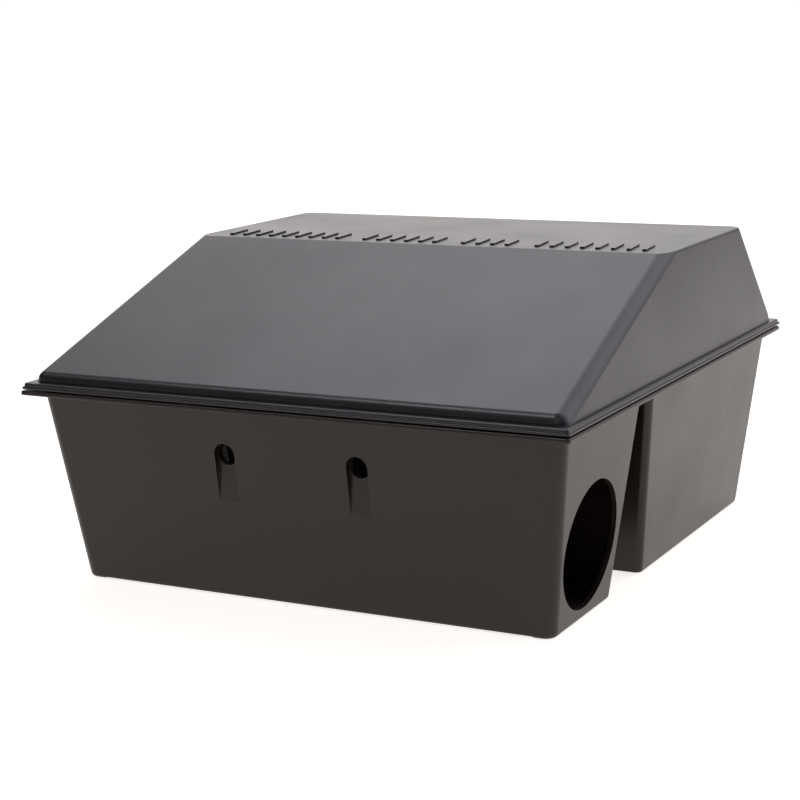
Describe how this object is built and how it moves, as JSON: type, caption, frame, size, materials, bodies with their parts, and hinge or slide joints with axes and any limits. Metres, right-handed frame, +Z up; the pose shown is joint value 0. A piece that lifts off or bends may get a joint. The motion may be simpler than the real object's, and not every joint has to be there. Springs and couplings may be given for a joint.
{
  "type": "bait station",
  "caption": "Lockable black plastic bait station: a tub with a front tunnel and side entry holes, a sloping hinged lid, and a lift-out tray with bait blocks on rods.",
  "frame": {"origin": "centre of the underside, on the ground between the tub's feet", "axes": "+X to the right along the long front wall, +Y to the back where the lid is hinged, +Z up; the keyed front faces -Y"},
  "size_m": [0.261, 0.2711, 0.1418],
  "materials": {
    "tub_plastic": "satin",
    "lid_plastic": "satin",
    "latch_plastic": "satin",
    "tray_plastic": "satin",
    "steel_wire": "bright zinc",
    "spring_steel": "tempered",
    "bait_wax": "waxy, pressed grain"
  },
  "bodies": {
    "tub": {"base_tub": "tub_plastic", "hinge_pin_left": "steel_wire", "hinge_pin_right": "steel_wire"},
    "lid": {"lid_shell": "lid_plastic", "latch_pin_left": "steel_wire", "latch_pin_right": "steel_wire"},
    "latch_left": {"latch_left": "latch_plastic", "latch_spring_left": "spring_steel"},
    "latch_right": {"latch_right": "latch_plastic", "latch_spring_right": "spring_steel"},
    "tray": {"bait_tray": "tray_plastic"},
    "rod_front": {"bait_rod_front": "steel_wire", "bait_block_front_left": "bait_wax", "bait_block_front_middle": "bait_wax", "bait_block_front_right": "bait_wax"},
    "rod_rear": {"bait_rod_rear": "steel_wire", "bait_block_rear_left": "bait_wax", "bait_block_rear_middle": "bait_wax", "bait_block_rear_right": "bait_wax"}
  },
  "joints": [
    {"name": "lid_hinge", "type": "hinge", "parent": "tub", "child": "lid", "pos_m": [0, 0.1335, 0.08835], "axis": [-1, 0, 0], "range_deg": [0, 110]},
    {"name": "latch_left_pivot", "type": "hinge", "parent": "lid", "child": "latch_left", "pos_m": [-0.032, -0.1131, 0.094], "axis": [-1, 0, 0], "range_deg": [0, 11], "stiffness_Nm_per_rad": 0.03, "springref_deg": 15},
    {"name": "latch_right_pivot", "type": "hinge", "parent": "lid", "child": "latch_right", "pos_m": [0.032, -0.1131, 0.094], "axis": [-1, 0, 0], "range_deg": [0, 11], "stiffness_Nm_per_rad": 0.03, "springref_deg": 15},
    {"name": "tray_lift", "type": "slide", "parent": "tub", "child": "tray", "axis": [0, 0, 1], "range_m": [0, 0.04]},
    {"name": "rod_front_lift", "type": "slide", "parent": "tray", "child": "rod_front", "axis": [0, 0, 1], "range_m": [0, 0.025]},
    {"name": "rod_rear_lift", "type": "slide", "parent": "tray", "child": "rod_rear", "axis": [0, 0, 1], "range_m": [0, 0.025]}
  ]
}
